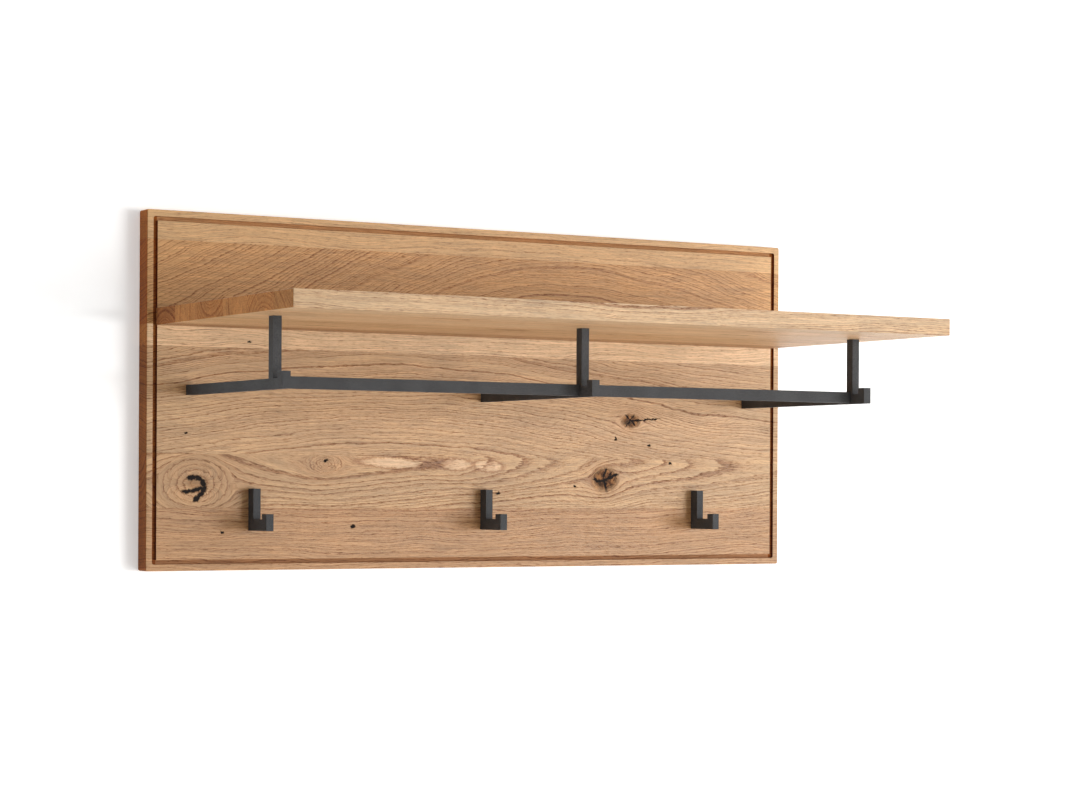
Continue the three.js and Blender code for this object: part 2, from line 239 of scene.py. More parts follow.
def crack(points, width):
    """A crack drawn through some points, as ellipses that reach a little past them and overlap."""
    reach = 0.68
    pieces = []
    for (x0, y0), (x1, y1) in zip(points, points[1:]):
        length = math.hypot(x1 - x0, y1 - y0)
        turn = math.degrees(math.atan2(y1 - y0, x1 - x0))
        pieces.append(((x0 + x1) / 2, (y0 + y1) / 2, reach * length, width / 2, turn))
    return pieces


def stretched_noise(tree, place, size, detail, roughness):
    """Noise whose blotches have a size, in mm, along, across and into the board."""
    spot = add(tree, "VectorMath", {0: place, 1: [1 / length for length in size]}, operation="MULTIPLY")
    return add(tree, "TexNoise", {"Vector": spot, "Scale": 1.0, "Detail": detail, "Roughness": roughness})


def darken(tree, colour, amount, shade):
    """The colour, darkened by a shade where amount is 1."""
    darker = add(tree, "VectorMath", {0: colour, 1: shade}, operation="MULTIPLY")
    return add(tree, "Mix", {0: amount, 6: colour, 7: darker}, out=2, data_type="RGBA")


def round_knots(tree, knots, flat, ragged, across, bend):
    """The fibres run round each knot as water runs round a stone.

    Gives how far the fibres are bent, the distance to the nearest knot, 1 at the rim of its swirl,
    and the brown of its middle."""
    swirl = core = None
    for knot in knots:
        offset = add(tree, "VectorMath", {0: flat, 1: (knot.x, knot.y, 0)}, operation="SUBTRACT")
        squeezed = add(tree, "VectorMath", {0: offset, 1: (1 / knot.stretch, 1, 0)}, operation="MULTIPLY")
        square = add(tree, "VectorMath", {0: squeezed, 1: squeezed}, out="Value", operation="DOT_PRODUCT")
        square = add(tree, "Math", {0: square, 1: (0.5 * knot.swirl) ** 2}, operation="ADD")
        pull = add(tree, "Math", {0: -knot.swirl ** 2, 1: square}, operation="DIVIDE")
        side = add(tree, "SeparateXYZ", {0: offset}, out="Y")
        shift = add(tree, "Math", {0: pull, 1: side}, operation="MULTIPLY")
        above = add(tree, "Math", {0: across, 1: knot.low}, operation="GREATER_THAN")
        below = add(tree, "Math", {0: across, 1: knot.high}, operation="LESS_THAN")
        inside = add(tree, "Math", {0: above, 1: below}, operation="MULTIPLY")
        bend = add(tree, "Math", {0: shift, 1: inside, 2: bend}, operation="MULTIPLY_ADD")
        # in the other staves the knot is too far off to show
        away = add(tree, "MapRange", {0: inside, 1: 0.0, 2: 1.0, 3: 50.0, 4: 0.0})
        distance = add(tree, "VectorMath", {0: ragged, 1: (knot.x, knot.y, 0)}, operation="SUBTRACT")
        distance = add(tree, "VectorMath", {0: distance, 1: (1 / knot.stretch, 1, 0)}, operation="MULTIPLY")
        distance = add(tree, "VectorMath", {0: distance}, out="Value", operation="LENGTH")
        loops = add(tree, "Math", {0: distance, 1: 1 / knot.swirl, 2: away}, operation="MULTIPLY_ADD")
        swirl = loops if swirl is None else add(tree, "Math", {0: swirl, 1: loops}, operation="MINIMUM")
        rim, full = 1.25 * knot.core, 0.7 * knot.core
        middle = add(tree, "MapRange", {0: distance, 1: rim, 2: full, 3: 0.0, 4: knot.dark})
        core = middle if core is None else add(tree, "Math", {0: core, 1: middle}, operation="MAXIMUM")
    return bend, swirl, core


def growth_rings(tree, along, straight, depth, heart, arch):
    """Rings counted from the pith, with the sweep and run-out of the trunk."""
    from_pith = add(tree, "Math", {0: straight, 1: heart[0]}, operation="SUBTRACT")
    deep = add(tree, "Math", {0: depth, 1: heart[1]}, operation="SUBTRACT")
    radial = add(tree, "CombineXYZ", {0: from_pith, 1: deep, 2: 0.0})
    radial = add(tree, "VectorMath", {0: radial, 1: (SHIFT, SHIFT, 0)}, operation="ADD")
    radial = add(tree, "VectorMath", {0: radial}, out="Value", operation="LENGTH")
    from_crest = add(tree, "Math", {0: along, 1: arch[0]}, operation="SUBTRACT")
    from_crest = add(tree, "Math", {0: from_crest, 1: SHIFT}, operation="ADD")
    slope = add(tree, "Math", {0: heart[2], 1: 1.0}, operation="SUBTRACT")
    radial = add(tree, "Math", {0: from_crest, 1: slope, 2: radial}, operation="MULTIPLY_ADD")
    swing = add(tree, "Math", {0: from_crest, 1: 2 * math.pi / GRAIN_SWEEP}, operation="MULTIPLY")
    swing = add(tree, "Math", {0: swing}, operation="COSINE")
    swing = add(tree, "Math", {0: 1.0, 1: swing}, operation="SUBTRACT")
    sweep = add(tree, "Math", {0: arch[1], 1: SHIFT}, operation="SUBTRACT")
    radial = add(tree, "Math", {0: swing, 1: sweep, 2: radial}, operation="MULTIPLY_ADD")
    rings = add(tree, "Math", {0: radial, 1: arch[2]}, operation="DIVIDE")
    # some years are wide and some narrow
    years = add(tree, "TexNoise", {"W": rings, "Scale": 0.33, "Detail": 2.0}, noise_dimensions="1D")
    return add(tree, "Math", {0: years, 1: 3.4, 2: rings}, operation="MULTIPLY_ADD")


def groove_cut_and_painted_shade(tree, groove, along, across, depth):
    """Where the router cut: darker cut grain and painted shade, stronger where it is deeper (painted shade in
    the recess) and where it crosses the grain (end-grain tone and painted shade).
    """
    half_width, low_edge, high_edge, floor_depth = groove
    far_side = GROOVE_INSET + GROOVE_WIDTH
    beside = add(tree, "Math", {0: along}, operation="ABSOLUTE")
    beside = add(tree, "Math", {0: half_width, 1: beside}, operation="SUBTRACT")
    over = add(tree, "Math", {0: across, 1: low_edge}, operation="SUBTRACT")
    under = add(tree, "Math", {0: high_edge, 1: across}, operation="SUBTRACT")
    edge = add(tree, "Math", {0: beside, 1: over}, operation="MINIMUM")
    edge = add(tree, "Math", {0: edge, 1: under}, operation="MINIMUM")
    within = add(tree, "MapRange", {0: edge, 1: 4.0, 2: 5.0, 3: 0.0, 4: 1.0})
    # painted shade: the deeper into the groove, the darker
    painted_recess_shade = add(tree, "MapRange", {0: depth, 1: 0.25, 2: 1.2, 3: 0.0, 4: 1.0})
    front = add(tree, "Math", {0: depth, 1: floor_depth + 1}, operation="LESS_THAN")
    groove_cut_and_shade = add(tree, "Math", {0: within, 1: painted_recess_shade}, operation="MULTIPLY")
    groove_cut_and_shade = add(tree, "Math", {0: groove_cut_and_shade, 1: front}, operation="MULTIPLY")
    crossing = add(tree, "MapRange", {0: beside, 1: far_side + 1, 2: far_side, 3: 0.55, 4: 1.0})
    return add(tree, "Math", {0: groove_cut_and_shade, 1: crossing}, operation="MULTIPLY")


def oak(name, turn, staves, end, knots=(), marks=(), patches=(), groove=None, face=0.0, rough=0.48,
        end_shade=SHELF_END_SHADE):
    """Solid wild oak, sawn, glued from staves, brushed lightly and oiled matt.
    The eye gets fine dark pore dashes along the grain, ring lines that arch and bend round knots,
    each stave in its own tone, and browner end grain.
    turn puts the board's across and depth on the axes of the frame; along is always x."""
    material, tree = new_material(name)
    place = add(tree, "TexCoord", out="Object")
    millimetres = add(tree, "VectorMath", {0: place, "Scale": 1 / MM}, operation="SCALE")
    split = add(tree, "SeparateXYZ", {0: millimetres}).node.outputs
    along = split[0]
    across = split[turn[0]]
    depth = add(tree, "Math", {0: split[turn[1]], 1: face}, operation="SUBTRACT")
    flat = add(tree, "CombineXYZ", {0: along, 1: across, 2: 0.0})
    share = add(tree, "MapRange", {0: across, 1: staves[0].start, 2: end, 3: 0.0, 4: 1.0})
    heart = per_stave(tree, share, staves, end,
                      lambda s: (s.pith + SHIFT, s.pith_depth + SHIFT, s.slope + 1))
    arch = per_stave(tree, share, staves, end,
                     lambda s: (s.crest + SHIFT, s.sweep + SHIFT, s.spacing))
    contrast_and_start = per_stave(tree, share, staves, end, lambda s: (s.contrast, s.start + SHIFT, 0))
    contrast, stave_start = contrast_and_start[0], contrast_and_start[1]
    tint = add(tree, "CombineColor", dict(enumerate(
        per_stave(tree, share, staves, end, lambda s: linear(s.tint)[:3]))))

    wave_place = add(tree, "CombineXYZ", {0: along, 1: across, 2: stave_start})
    wave_place = add(tree, "VectorMath", {0: wave_place, 1: (1 / WAVE_LENGTH, 1 / WAVE_WIDTH, WAVE_CHANGE)},
                     operation="MULTIPLY")
    wave = add(tree, "TexNoise", {"Vector": wave_place, "Scale": 1.0, "Detail": 3.0, "Roughness": 0.42})
    bend = add(tree, "MapRange", {0: wave, 1: 0.0, 2: 1.0, 3: -WAVE_HEIGHT, 4: WAVE_HEIGHT})

    stray = add(tree, "TexNoise", {"Vector": flat, "Scale": 0.22, "Detail": 3.0}, out="Color")
    stray = add(tree, "VectorMath", {0: stray, 1: (0.5, 0.5, 0.5)}, operation="SUBTRACT")
    stray = add(tree, "VectorMath", {0: stray, "Scale": RAGGED}, operation="SCALE")
    ragged = add(tree, "VectorMath", {0: flat, 1: stray}, operation="ADD")

    bend, swirl, core = round_knots(tree, knots, flat, ragged, across, bend)
    straight = add(tree, "Math", {0: across, 1: bend}, operation="ADD")
    grain = add(tree, "CombineXYZ", {0: along, 1: straight, 2: depth})

    rings = growth_rings(tree, along, straight, depth, heart, arch)
    fuzz = stretched_noise(tree, grain, (22, 2.6, 2.6), 3.0, 0.65)
    rings = add(tree, "Math", {0: fuzz, 1: 0.62, 2: rings}, operation="MULTIPLY_ADD")
    if swirl is not None:
        # inside the swirl of a knot the rings close round it
        closed = add(tree, "Math", {0: swirl, 1: 6.0}, operation="MULTIPLY")
        closed = add(tree, "Math", {0: fuzz, 1: 0.8, 2: closed}, operation="MULTIPLY_ADD")
        within = add(tree, "Math", {0: swirl, 1: 0.92}, operation="LESS_THAN")
        rings = add(tree, "Mix", {0: within, 2: rings, 3: closed}, data_type="FLOAT")
    phase = add(tree, "Math", {0: rings}, operation="FRACT")
    year = add(tree, "Math", {0: rings}, operation="FLOOR")
    one_year = add(tree, "TexWhiteNoise", {"W": year}, noise_dimensions="1D")
    # a ring begins with a dark porous line that fades, and darkens again just before the next one
    early = ramp(tree, phase, [(0.0, (1, 1, 1, 1)), (0.10, (0.80, 0.80, 0.80, 1)),
                               (0.26, (0.24, 0.24, 0.24, 1)), (0.60, (0.05, 0.05, 0.05, 1)),
                               (0.94, (0.0, 0.0, 0.0, 1)), (1.0, (0.6, 0.6, 0.6, 1))])
    lines = add(tree, "MapRange", {0: one_year, 1: 0.0, 2: 1.0, 3: 0.65, 4: 1.45})
    lines = add(tree, "Math", {0: early, 1: lines}, operation="MULTIPLY")
    lines = add(tree, "Math", {0: lines, 1: contrast}, operation="MULTIPLY")

    # open pores: short dark dashes along the grain, crowded where a ring begins
    pores = stretched_noise(tree, grain, (PORE_LENGTH, PORE_WIDTH, PORE_WIDTH), 2.0, 0.7)
    dash = add(tree, "MapRange", {0: pores, 1: 0.52, 2: 0.61, 3: 0.0, 4: 1.0})
    crowding = add(tree, "MapRange", {0: lines, 1: 0.0, 2: 0.7, 3: 0.30, 4: 1.0})
    dash = add(tree, "Math", {0: dash, 1: crowding}, operation="MULTIPLY")

    tone = None
    for length, width, strength in TONES:
        mottle = stretched_noise(tree, grain, (length, width, width), 3.0, 0.6)
        mottle = add(tree, "MapRange", {0: mottle, 1: 0.25, 2: 0.75, 3: 1 - strength, 4: 1 + strength})
        tone = mottle if tone is None else add(tree, "Math", {0: tone, 1: mottle}, operation="MULTIPLY")
    if patches:
        # pale wide-ringed patches with a brown outline
        patch = nearest_of(tree, ragged, patches)
        pale = add(tree, "MapRange", {0: patch, 1: 1.0, 2: 0.55, 3: 0.0, 4: 0.75})
        tint = add(tree, "Mix", {0: pale, 6: tint, 7: linear("#E2BF99")}, out=2, data_type="RGBA")
        outside = add(tree, "MapRange", {0: patch, 1: 0.98, 2: 1.25, 3: 1.0, 4: 0.0})
        outline = add(tree, "MapRange", {0: patch, 1: 0.78, 2: 0.96, 3: 0.0, 4: 0.85})
        outline = add(tree, "Math", {0: outline, 1: outside}, operation="MULTIPLY")
        tint = darken(tree, tint, outline, OUTLINE_SHADE)
    colour = add(tree, "VectorMath", {0: tint, "Scale": tone}, operation="SCALE")
    colour = darken(tree, colour, lines, RING_SHADE)
    colour = darken(tree, colour, dash, PORE_SHADE)

    # pores, knots, marks, end grain and the groove take up the oil and lose their gloss
    hollow = dash
    matt = add(tree, "Math", {0: dash, 1: 0.3}, operation="MULTIPLY")
    if swirl is not None:
        warm = add(tree, "MapRange", {0: swirl, 1: 2.2, 2: 0.8, 3: 0.0, 4: 0.45})
        colour = darken(tree, colour, warm, KNOT_SHADE)
        patchy = add(tree, "TexNoise", {"Vector": flat, "Scale": 0.11, "Detail": 4.0, "Roughness": 0.6})
        knot_brown = ramp(tree, patchy, [(0.40, linear("#22140C")), (0.50, linear("#52301C")),
                                         (0.60, linear("#94673F"))])
        colour = add(tree, "Mix", {0: core, 6: colour, 7: knot_brown}, out=2, data_type="RGBA")
        matt = add(tree, "Math", {0: matt, 1: core}, operation="MAXIMUM")
    if marks:
        # pin knots and the cracks in knots, filled dark
        mark = nearest_of(tree, ragged, marks)
        mark = add(tree, "MapRange", {0: mark, 1: 1.25, 2: 0.75, 3: 0.0, 4: 1.0})
        colour = add(tree, "Mix", {0: mark, 6: colour, 7: linear("#160E0A")}, out=2, data_type="RGBA")
        hollow = add(tree, "Math", {0: hollow, 1: mark}, operation="MAXIMUM")
        matt = add(tree, "Math", {0: matt, 1: mark}, operation="MAXIMUM")

    normal = add(tree, "NewGeometry", out="Normal")
    sideways = add(tree, "SeparateXYZ", {0: normal}, out="X")
    sideways = add(tree, "Math", {0: sideways}, operation="ABSOLUTE")
    end_grain = add(tree, "MapRange", {0: sideways, 1: 0.35, 2: 0.8, 3: 0.0, 4: 1.0})
    colour = darken(tree, colour, end_grain, end_shade)
    matt = add(tree, "Math", {0: matt, 1: end_grain}, operation="MAXIMUM")

    if groove is not None:
        # the groove gets its darker cut grain and painted shade in its recess
        groove_cut_and_shade = groove_cut_and_painted_shade(tree, groove, along, across, depth)
        colour = darken(tree, colour, groove_cut_and_shade, GROOVE_CUT_AND_PAINTED_SHADE)
        matt = add(tree, "Math", {0: matt, 1: groove_cut_and_shade}, operation="MAXIMUM")

    roughness = add(tree, "MapRange", {0: matt, 1: 0.0, 2: 1.0, 3: rough, 4: 1.0})
    height = add(tree, "Math", {0: lines, 1: -0.35}, operation="MULTIPLY")
    height = add(tree, "Math", {0: height, 1: hollow}, operation="SUBTRACT")
    bump = add(tree, "Bump", {"Strength": 0.6, "Distance": 0.25 * MM, "Height": height})
    shader = add(tree, "BsdfPrincipled", {
        "Base Color": colour, "Roughness": roughness, "Normal": bump, "IOR": 1.5, "Specular IOR Level": 0.5})
    finish_material(tree, shader)
    return material


def powder_coat():
    """Steel bar with a fine-texture matt black powder coat, baked on.
    The eye gets a soft grey sheen broken by an even orange-peel grain."""
    material, tree = new_material("fine texture black powder coat")
    place = add(tree, "TexCoord", out="Object")
    # the real grain is 0.3 to 0.5 mm across; drawn at 1.1 mm so that it shows
    grain = add(tree, "TexNoise", {
        "Vector": place, "Scale": 1 / (1.1 * MM), "Detail": 2.0, "Roughness": 0.55})
    cloud = add(tree, "TexNoise", {"Vector": place, "Scale": 1 / (45 * MM), "Detail": 3.0})
    colour = ramp(tree, grain, [(0.30, linear("#303133")), (0.70, linear("#454648"))])
    tone = add(tree, "MapRange", {0: cloud, 1: 0.3, 2: 0.7, 3: 0.85, 4: 1.15})
    colour = add(tree, "VectorMath", {0: colour, "Scale": tone}, operation="SCALE")
    rough = add(tree, "MapRange", {0: grain, 1: 0.3, 2: 0.7, 3: 0.78, 4: 0.62})
    bump = add(tree, "Bump", {"Strength": 0.30, "Distance": 0.12 * MM, "Height": grain})
    shader = add(tree, "BsdfPrincipled", {
        "Base Color": colour, "Roughness": rough, "Normal": bump, "Specular IOR Level": 0.34})
    finish_material(tree, shader)
    return material


def zinc_plate():
    """Zinc-plated and clear-passivated steel, as screws and hanging plates come.
    The eye gets a cool grey metal with faint drawing lines and cloudy patches."""
    material, tree = new_material("zinc-plated steel")
    place = add(tree, "TexCoord", out="Object")
    # drawing lines about 17 mm long and 1 mm wide, clouds about 6 mm
    stretched = add(tree, "Mapping", {"Vector": place, "Scale": (60, 900, 900)})
    lines = add(tree, "TexNoise", {"Vector": stretched, "Scale": 1.0, "Detail": 3.0})
    cloud = add(tree, "TexNoise", {"Vector": place, "Scale": 1 / (6 * MM), "Detail": 3.0})
    colour = ramp(tree, cloud, [
        (0.3, linear("#A7ABAF")), (0.55, linear("#C2C5C6")), (0.75, linear("#C9C4B2"))])
    rough = add(tree, "MapRange", {0: lines, 1: 0.3, 2: 0.7, 3: 0.28, 4: 0.46})
    bump = add(tree, "Bump", {"Strength": 0.25, "Distance": 0.05 * MM, "Height": lines})
    shader = add(tree, "BsdfPrincipled", {
        "Base Color": colour, "Roughness": rough, "Normal": bump, "Metallic": 1.0})
    finish_material(tree, shader)
    return material


def beech():
    """Turned and fluted beech dowel, dry. The eye gets pale pinkish wood with short brown flecks."""
    material, tree = new_material("turned beech")
    place = add(tree, "TexCoord", out="Object")
    # flecks about 4.5 mm long and 0.7 mm wide, along the dowel
    stretched = add(tree, "Mapping", {"Vector": place, "Scale": (1500, 220, 1500)})
    flecks = add(tree, "TexNoise", {"Vector": stretched, "Scale": 1.0, "Detail": 3.0})
    colour = ramp(tree, flecks, [
        (0.35, linear("#D9B68C")), (0.62, linear("#CDA577")), (0.72, linear("#A97B52"))])
    bump = add(tree, "Bump", {"Strength": 0.3, "Distance": 0.1 * MM, "Height": flecks})
    shader = add(tree, "BsdfPrincipled", {"Base Color": colour, "Roughness": 0.7, "Normal": bump})
    finish_material(tree, shader)
    return material


# ---------------------------------------------------------------- shapes

def ring(bm, box, inset, radius, y, steps=6):
    """A loop of vertices round a rectangle in the wall's plane, set in by inset, with rounded corners."""
    left, right, bottom, top = box[0] + inset, box[1] - inset, box[2] + inset, box[3] - inset
    corners = ((right, top, 0), (left, top, 1), (left, bottom, 2), (right, bottom, 3))
    loop = []
    for x, z, quarter in corners:
        centre_x = x - radius * (1 if x == right else -1)
        centre_z = z - radius * (1 if z == top else -1)
        for step in range(steps + 1):
            angle = (quarter + step / steps) * math.pi / 2
            spot = (centre_x + radius * math.cos(angle), y, centre_z + radius * math.sin(angle))
            loop.append(bm.verts.new(Vector(spot) * MM))
    return loop


def skin(bm, loops):
    """Quads between loops of the same count, and a face on the first and last."""
    for one, two in zip(loops, loops[1:]):
        count = len(one)
        for i in range(count):
            j = (i + 1) % count
            bm.faces.new((one[i], one[j], two[j], two[i]))
    bm.faces.new(loops[0][::-1])
    bm.faces.new(loops[-1])


def prism(bm, outline, x_low, x_high):
    """A closed outline of (y, z), in mm, drawn across the rack and given its width along x."""
    near = [bm.verts.new(Vector((x_low, y, z)) * MM) for y, z in outline]
    far = [bm.verts.new(Vector((x_high, y, z)) * MM) for y, z in outline]
    skin(bm, [near, far])


def turned(bm, profile, centre, direction, sides=32):
    """A profile of (radius, distance), in mm, turned about an axis from centre along direction."""
    axis = Vector(direction).normalized()
    turn = axis.to_track_quat("Z", "Y").to_matrix()
    loops = []
    for radius, distance in profile:
        loop = []
        for i in range(sides):
            angle = 2 * math.pi * i / sides
            local = Vector((radius * math.cos(angle), radius * math.sin(angle), distance))
            loop.append(bm.verts.new((Vector(centre) + turn @ local) * MM))
        loops.append(loop)
    skin(bm, loops)


def star(bm, radius, centre, depth, lobes=6, steps=8):
    """A six-lobed drive recess, cut along +Y from centre."""
    loops = []
    for y in (-depth, 2.0):
        loop = []
        for i in range(lobes * steps):
            angle = 2 * math.pi * i / (lobes * steps)
            r = radius * (0.86 + 0.14 * math.cos(lobes * angle))
            spot = Vector(centre) + Vector((r * math.cos(angle), y, r * math.sin(angle)))
            loop.append(bm.verts.new(spot * MM))
        loops.append(loop)
    skin(bm, loops)


def soften(bm, width, segments=3, choose=None, angle=30):
    """Rounds the edges sharper than angle, or those that choose picks."""
    limit = math.radians(angle)
    edges = [e for e in bm.edges if len(e.link_faces) == 2 and e.calc_face_angle() > limit]
    if choose is not None:
        edges = [e for e in edges if choose(e)]
    bmesh.ops.bevel(bm, geom=edges, offset=width * MM, segments=segments, profile=0.5, affect="EDGES",
                    clamp_overlap=True)


def to_object(name, bm):
    """A new object in the scene from a finished bmesh."""
    bmesh.ops.recalc_face_normals(bm, faces=bm.faces)
    mesh = bpy.data.meshes.new(name)
    bm.to_mesh(mesh)
    bm.free()
    made = bpy.data.objects.new(name, mesh)
    scene.collection.objects.link(made)
    return made


def cut(piece, shapes):
    """Cuts the shapes out of the piece. Each shape is a function that draws one closed solid."""
    bm = bmesh.new()
    for shape in shapes:
        shape(bm)
    tool = to_object("cutter", bm)
    modifier = piece.modifiers.new("cut", "BOOLEAN")
    modifier.operation = "DIFFERENCE"
    modifier.solver = "EXACT"
    modifier.use_self = True
    modifier.object = tool
    bpy.context.view_layer.update()
    mesh = bpy.data.meshes.new_from_object(piece.evaluated_get(bpy.context.evaluated_depsgraph_get()))
    piece.modifiers.clear()
    piece.data = mesh
    bpy.data.objects.remove(tool)


def dress(piece, material, slot, *nodes):
    """Material, even shading over the rounded edges, and the CAD nodes that the piece stands for."""
    piece.data.materials.clear()
    piece.data.materials.append(material)
    piece.data.shade_smooth()
    piece.data.set_sharp_from_angle(angle=math.radians(35))
    shading = piece.modifiers.new("even shading", "WEIGHTED_NORMAL")
    shading.keep_sharp = True
    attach(piece, "root")
    if nodes:
        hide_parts(*nodes)


def box_mm(node):
    """A CAD node's lowest and highest corner, in mm."""
    low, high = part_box(node)
    return low / MM, high / MM


def hole(radius, start, end):
    """A round hole between two points, for cut()."""
    start, end = Vector(start), Vector(end)
    return lambda bm: turned(bm, [(radius, 0), (radius, (end - start).length)], start, end - start)


def block(low, high):
    """A box between two corners, for cut()."""
    def draw(bm):
        outline = [(low[1], low[2]), (high[1], low[2]), (high[1], high[2]), (low[1], high[2])]
        prism(bm, outline, low[0], high[0])
    return draw


def lengthwise(edge):
    """Whether an edge runs along the rack."""
    one, two = edge.verts
    return abs(one.co.x - two.co.x) > 0.1


# ---------------------------------------------------------------- sizes taken from the frame, in mm

panel_low, panel_high = box_mm("back_panel")
shelf_low, shelf_high = box_mm("shelf_board")
FACE = panel_low.y
screw_nodes = sorted(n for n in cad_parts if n.rsplit("screw", 1)[0] + "screw" in SCREWS)


def centre_of(node):
    """The middle of a CAD node's box, in mm."""
    low, high = box_mm(node)
    return (low + high) / 2


def countersink(kind, node):
    """The hole that a screw needs, open at both faces of the panel."""
    shank, head, _ = SCREWS[kind]
    spot = centre_of(node)
    shank += CLEARANCE
    head += CLEARANCE
    painted_recess_shade = 0.5
    profile = [(head, -2.0), (head, painted_recess_shade), (shank, painted_recess_shade + head - shank), (shank, DEEPER - FACE)]
    return lambda bm: turned(bm, profile, (spot.x, 0, spot.z), (0, -1, 0))


# ---------------------------------------------------------------- boards

def back_panel(material):
    """The board with rounded edges and corners, its groove, and all its holes and pockets."""
    bm = bmesh.new()
    box = (panel_low.x, panel_high.x, panel_low.z, panel_high.z)
    back = panel_high.y
    loops = []
    steps = 4
    quarter = [i / steps * math.pi / 2 for i in range(steps + 1)]
    for angle in quarter:
        inset = PANEL_EDGE * (1 - math.sin(angle))
        y = back - PANEL_EDGE * (1 - math.cos(angle))
        loops.append(ring(bm, box, inset, PANEL_CORNER - inset, y))
    for angle in quarter:
        inset = PANEL_EDGE * (1 - math.cos(angle))
        y = FACE + PANEL_EDGE * (1 - math.sin(angle))
        loops.append(ring(bm, box, inset, PANEL_CORNER - inset, y))
    lip = GROOVE_LIP
    outer, inner = GROOVE_INSET, GROOVE_INSET + GROOVE_WIDTH
    for inset, rise in ((outer - lip, 0), (outer - 0.3 * lip, 0.3 * lip), (outer, lip),
                        (outer, GROOVE_DEPTH - lip), (outer + lip, GROOVE_DEPTH)):
        loops.append(ring(bm, box, inset, GROOVE_WIDTH / 2, FACE + rise))
    for inset, rise in ((inner - lip, GROOVE_DEPTH), (inner, GROOVE_DEPTH - lip), (inner, lip),
                        (inner + 0.3 * lip, 0.3 * lip), (inner + lip, 0)):
        loops.append(ring(bm, box, inset, 0.3, FACE + rise))
    skin(bm, loops)
    piece = to_object("oak_panel", bm)

    cuts = [countersink(kind, n) for n in screw_nodes for kind in SCREWS
            if n.startswith(kind) and kind != "plate_screw"]
    for name in ENDS:
        low, high = box_mm(f"hanger_plate_{name}")
        cuts.append(block((low.x - CLEARANCE, low.y, low.z - CLEARANCE),
                          (high.x + CLEARANCE, 1, high.z + CLEARANCE)))
        middle = (low + high) / 2
        cuts.append(block((middle.x - POCKET_WIDTH, -POCKET_DEPTH, middle.z - POCKET_HEIGHT),
                          (middle.x + POCKET_WIDTH, low.y + 0.5, middle.z + POCKET_HEIGHT)))
    shank, _, length = SCREWS["plate_screw"]
    for n in screw_nodes:
        if n.startswith("plate_screw"):
            spot = centre_of(n)
            cuts.append(hole(shank + CLEARANCE, (spot.x, 0, spot.z), (spot.x, -length - DEEPER, spot.z)))
    for i in DOWELS:
        _, high = box_mm(f"shelf_dowel_{i}")
        spot = centre_of(f"shelf_dowel_{i}")
        cuts.append(hole(DOWEL_HOLE, (spot.x, high.y + DEEPER, spot.z), (spot.x, FACE - OUTSIDE, spot.z)))
    cut(piece, cuts)
    dress(piece, material, "oak", "back_panel")


def shelf(material):
    """The shelf board: a well rounded front edge, eased ends, and holes for what joins it."""
    bm = bmesh.new()
    low, high = shelf_low, Vector((shelf_high.x, FACE, shelf_high.z))
    block(low, high)(bm)

    def at_front(edge):
        return lengthwise(edge) and all(v.co.y < (low.y + 1) * MM for v in edge.verts)

    def at_end(edge):
        touches_panel = all(v.co.y > (high.y - 0.1) * MM for v in edge.verts)
        left = all(v.co.x < (low.x + 0.1) * MM for v in edge.verts)
        right = all(v.co.x > (high.x - 0.1) * MM for v in edge.verts)
        return (left or right) and not touches_panel

    soften(bm, SHELF_FRONT_EDGE, 6, at_front)
    soften(bm, SHELF_END_EDGE, 4, at_end, angle=5)
    piece = to_object("oak_shelf", bm)
    cuts = []
    for i in DOWELS:
        for kind, radius in (("dowel", DOWEL_HOLE), ("screw", PIN_HOLE)):
            joined_low, _ = box_mm(f"shelf_{kind}_{i}")
            x = centre_of(f"shelf_{kind}_{i}").x
            z = centre_of(f"shelf_dowel_{i}").z
            cuts.append(hole(radius, (x, FACE + OUTSIDE, z), (x, joined_low.y - DEEPER, z)))
    for name in PLACES:
        _, stud_high = box_mm(f"post_stud_{name}")
        spot = centre_of(f"post_stud_{name}")
        cuts.append(hole(PIN_HOLE, (spot.x, spot.y, low.z - OUTSIDE), (spot.x, spot.y, stud_high.z + DEEPER)))
    cut(piece, cuts)
    dress(piece, material, "oak", "shelf_board")


# ---------------------------------------------------------------- metalwork

def bracket(name, material):
    """Arm, post and lip as one welded and ground piece."""
    arm_low, arm_high = box_mm(f"{name}_arm")
    post_low, post_high = box_mm(f"{name}_post")
    lip_low, lip_high = box_mm(f"{name}_arm_lip")
    outline = [
        (arm_high.y, arm_low.z), (lip_low.y, arm_low.z), (lip_low.y, lip_high.z), (lip_high.y, lip_high.z),
        (lip_high.y, arm_high.z), (post_low.y, arm_high.z), (post_low.y, post_high.z),
        (post_high.y, post_high.z), (post_high.y, arm_high.z), (arm_high.y, arm_high.z),
    ]
    bm = bmesh.new()
    prism(bm, outline, arm_low.x, arm_high.x)
    soften(bm, BAR_EDGE, 3)
    piece = to_object(f"bracket_{name}", bm)
    screw = centre_of(f"arm_screw_{name}")
    screw_low, _ = box_mm(f"arm_screw_{name}")
    stud = centre_of(f"post_stud_{name}")
    stud_low, _ = box_mm(f"post_stud_{name}")
    pin_low, pin_high = box_mm(f"rail_pin_{name}")
    pin = centre_of(f"rail_pin_{name}")
    # blind where the pin ends inside the bar, open where it comes out
    start = pin_low.x - PIN_ROOM if pin_low.x > arm_low.x else arm_low.x - OUTSIDE
    stop = pin_high.x + PIN_ROOM if pin_high.x < arm_high.x else arm_high.x + OUTSIDE
    screw_hole = SCREWS["arm_screw"][0] + CLEARANCE
    cut(piece, [
        hole(screw_hole, (screw.x, arm_high.y + OUTSIDE, screw.z), (screw.x, screw_low.y - DEEPER, screw.z)),
        hole(PIN_HOLE, (stud.x, stud.y, post_high.z + OUTSIDE), (stud.x, stud.y, stud_low.z - DEEPER)),
        hole(PIN_HOLE, (start, pin.y, pin.z), (stop, pin.y, pin.z)),
    ])
    dress(piece, material, "black_powder_coat", f"{name}_arm", f"{name}_post", f"{name}_arm_lip")


